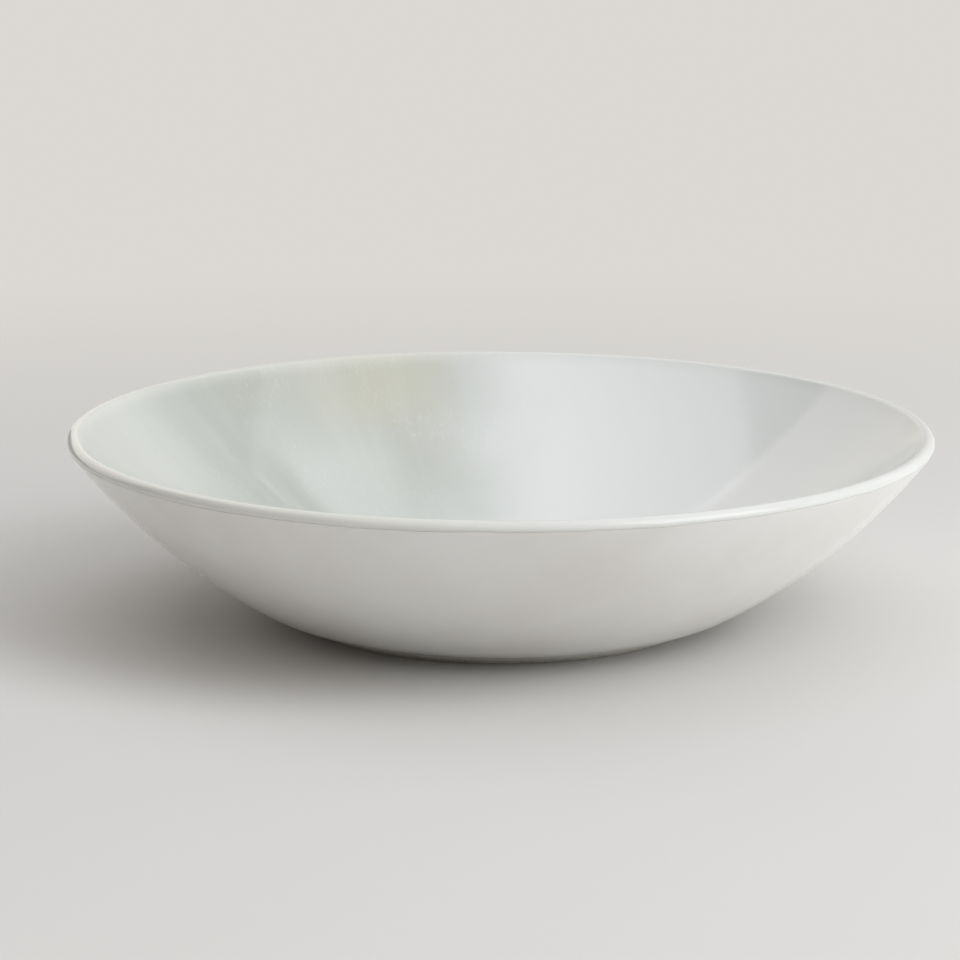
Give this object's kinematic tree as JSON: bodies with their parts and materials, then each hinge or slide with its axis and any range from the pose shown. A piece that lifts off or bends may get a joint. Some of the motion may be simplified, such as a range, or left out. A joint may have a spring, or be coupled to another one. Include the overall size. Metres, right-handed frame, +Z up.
{
  "type": "low bowl",
  "caption": "Low round stoneware bowl on a foot ring, celadon and white reactive glaze inside lapping over the lip, plain white glaze outside, for serving food.",
  "frame": {"origin": "centre of the foot ring, on the surface that the bowl stands on", "axes": "+Z up along the bowl's axis of turning, out of its mouth; +X and +Y lie in the standing surface and are alike, with -Y towards the viewer of the picture"},
  "size_m": [0.23, 0.23, 0.051],
  "materials": {
    "stoneware_clay": "fired, unglazed, matte",
    "reactive_glaze": "glossy reactive glaze, near-white breaking to pale celadon",
    "white_glaze": "glossy warm white glaze"
  },
  "bodies": {
    "root": {"stoneware_body": "stoneware_clay", "inner_glaze": "reactive_glaze", "outer_glaze": "white_glaze", "base_glaze": "white_glaze"}
  },
  "joints": []
}
